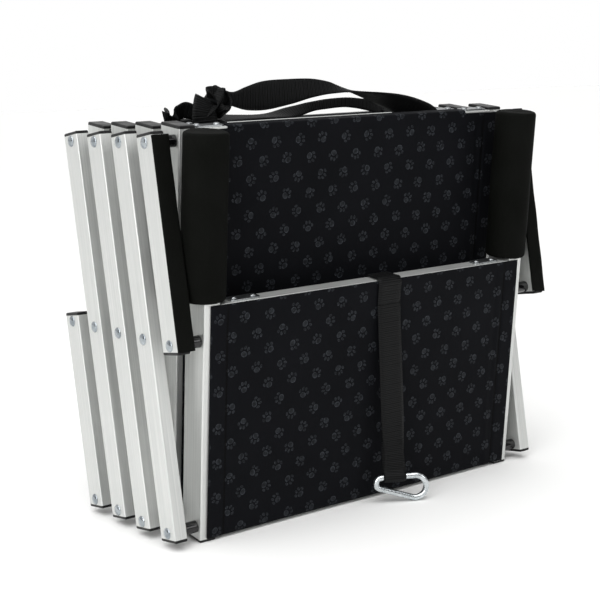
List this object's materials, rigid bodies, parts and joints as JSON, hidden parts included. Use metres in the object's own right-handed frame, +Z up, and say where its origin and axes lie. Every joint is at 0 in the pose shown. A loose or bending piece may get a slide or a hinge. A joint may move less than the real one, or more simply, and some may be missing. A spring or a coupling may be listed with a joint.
{
  "type": "folding dog ramp",
  "caption": "Folding dog ramp: fabric-covered step frames joined by link bars as lazy tongs, shown folded, with foam-sleeved arms, carrying handles and a strap with a snap hook.",
  "frame": {"origin": "centre of the folded pack's box, at the level it stands on", "axes": "+X across the ramp's width, +Y from the first step to the last of the folded pack, +Z up"},
  "size_m": [0.4828, 0.2661, 0.447],
  "materials": {
    "step_aluminium": "satin anodised",
    "link_aluminium": "satin anodised",
    "bracket_steel": "nickel plated",
    "rivet_steel": "bright plated",
    "cap_plastic": "moulded, fine texture",
    "tread_board": "painted plywood",
    "tread_fabric": "woven, embossed with paw prints",
    "foam": "closed-cell foam",
    "webbing": "woven polypropylene",
    "hook_zinc": "zinc plated"
  },
  "bodies": {
    "step_1": {"step_1_left_rail": "step_aluminium", "step_1_right_rail": "step_aluminium", "step_1_cross_bars": "step_aluminium", "step_1_brackets": "bracket_steel", "step_1_board": "tread_board", "step_1_cover": "tread_fabric", "step_1_caps": "cap_plastic", "foam_sleeves": "foam", "tether_loop": "webbing"},
    "link_1": {"link_1_bars": "link_aluminium", "link_1_pivots": "rivet_steel", "link_1_caps": "cap_plastic", "link_1_pads": "foam"},
    "step_2": {"step_2_left_rail": "step_aluminium", "step_2_right_rail": "step_aluminium", "step_2_cross_bars": "step_aluminium", "step_2_brackets": "bracket_steel", "step_2_board": "tread_board", "step_2_cover": "tread_fabric", "step_2_caps": "cap_plastic"},
    "link_2": {"link_2_left_bar": "link_aluminium", "link_2_right_bar": "link_aluminium", "link_2_pivots": "rivet_steel", "link_2_caps": "cap_plastic"},
    "step_3": {"step_3_left_rail": "step_aluminium", "step_3_right_rail": "step_aluminium", "step_3_cross_bars": "step_aluminium", "step_3_brackets": "bracket_steel", "step_3_board": "tread_board", "step_3_cover": "tread_fabric", "step_3_caps": "cap_plastic", "front_handle": "webbing"},
    "link_3": {"link_3_left_bar": "link_aluminium", "link_3_right_bar": "link_aluminium", "link_3_pivots": "rivet_steel", "link_3_caps": "cap_plastic"},
    "step_4": {"step_4_left_rail": "step_aluminium", "step_4_right_rail": "step_aluminium", "step_4_cross_bars": "step_aluminium", "step_4_brackets": "bracket_steel", "step_4_board": "tread_board", "step_4_cover": "tread_fabric", "step_4_caps": "cap_plastic", "rear_handle": "webbing"},
    "link_4": {"link_4_left_bar": "link_aluminium", "link_4_right_bar": "link_aluminium", "link_4_pivots": "rivet_steel", "link_4_caps": "cap_plastic"},
    "step_5": {"step_5_rails": "step_aluminium", "step_5_cross_bars": "step_aluminium", "step_5_brackets": "bracket_steel", "step_5_board": "tread_board", "step_5_cover": "tread_fabric", "step_5_caps": "cap_plastic"},
    "link_5": {"link_5_bars": "link_aluminium", "link_5_pivots": "rivet_steel", "link_5_caps": "cap_plastic"},
    "tether": {"tether_strap": "webbing"},
    "snap_hook": {"carabiner_body": "hook_zinc"},
    "hook_gate": {"carabiner_gate": "hook_zinc"}
  },
  "joints": [
    {"name": "unfold", "type": "hinge", "parent": "step_5", "child": "link_5", "pos_m": [0, 0.1074, 0.20422], "axis": [-1, 0, 0], "range_deg": [0, 150]},
    {"name": "step_4_fold", "type": "hinge", "parent": "link_5", "child": "step_4", "pos_m": [0, 0.0824, 0.01587], "axis": [-1, 0, 0], "range_deg": [-150, 0]},
    {"name": "link_4_fold", "type": "hinge", "parent": "step_4", "child": "link_4", "pos_m": [0, 0.0574, 0.20422], "axis": [-1, 0, 0], "range_deg": [0, 150]},
    {"name": "step_3_fold", "type": "hinge", "parent": "link_4", "child": "step_3", "pos_m": [0, 0.0324, 0.01587], "axis": [-1, 0, 0], "range_deg": [-150, 0]},
    {"name": "link_3_fold", "type": "hinge", "parent": "step_3", "child": "link_3", "pos_m": [0, 0.0074, 0.20422], "axis": [-1, 0, 0], "range_deg": [0, 150]},
    {"name": "step_2_fold", "type": "hinge", "parent": "link_3", "child": "step_2", "pos_m": [0, -0.0176, 0.01587], "axis": [-1, 0, 0], "range_deg": [-150, 0]},
    {"name": "link_2_fold", "type": "hinge", "parent": "step_2", "child": "link_2", "pos_m": [0, -0.0426, 0.20422], "axis": [-1, 0, 0], "range_deg": [0, 150]},
    {"name": "step_1_fold", "type": "hinge", "parent": "link_2", "child": "step_1", "pos_m": [0, -0.0676, 0.01587], "axis": [-1, 0, 0], "range_deg": [-150, 0]},
    {"name": "link_1_fold", "type": "hinge", "parent": "step_1", "child": "link_1", "pos_m": [0, -0.0926, 0.20422], "axis": [-1, 0, 0], "range_deg": [0, 150]},
    {"name": "tether_swing", "type": "hinge", "parent": "step_1", "child": "tether", "pos_m": [0.016, -0.10558, 0.21157], "axis": [-1, 0, 0], "range_deg": [-2, 90]},
    {"name": "hook_swing", "type": "hinge", "parent": "tether", "child": "snap_hook", "pos_m": [0.016, -0.10558, 0.0278], "axis": [-0.891, 0.454, 0], "range_deg": [-6, 60]},
    {"name": "gate_spring", "type": "hinge", "parent": "snap_hook", "child": "hook_gate", "pos_m": [0.00601, -0.10049, 0.0145], "axis": [-0.454, -0.891, 0], "range_deg": [0, 16], "stiffness_Nm_per_rad": 0.05, "springref_deg": -8.59}
  ],
  "couplings": [
    {"joint": "step_4_fold", "follows": "unfold", "ratio": -1},
    {"joint": "link_4_fold", "follows": "unfold", "ratio": 1},
    {"joint": "step_3_fold", "follows": "unfold", "ratio": -1},
    {"joint": "link_3_fold", "follows": "unfold", "ratio": 1},
    {"joint": "step_2_fold", "follows": "unfold", "ratio": -1},
    {"joint": "link_2_fold", "follows": "unfold", "ratio": 1},
    {"joint": "step_1_fold", "follows": "unfold", "ratio": -1},
    {"joint": "link_1_fold", "follows": "unfold", "ratio": 1}
  ]
}
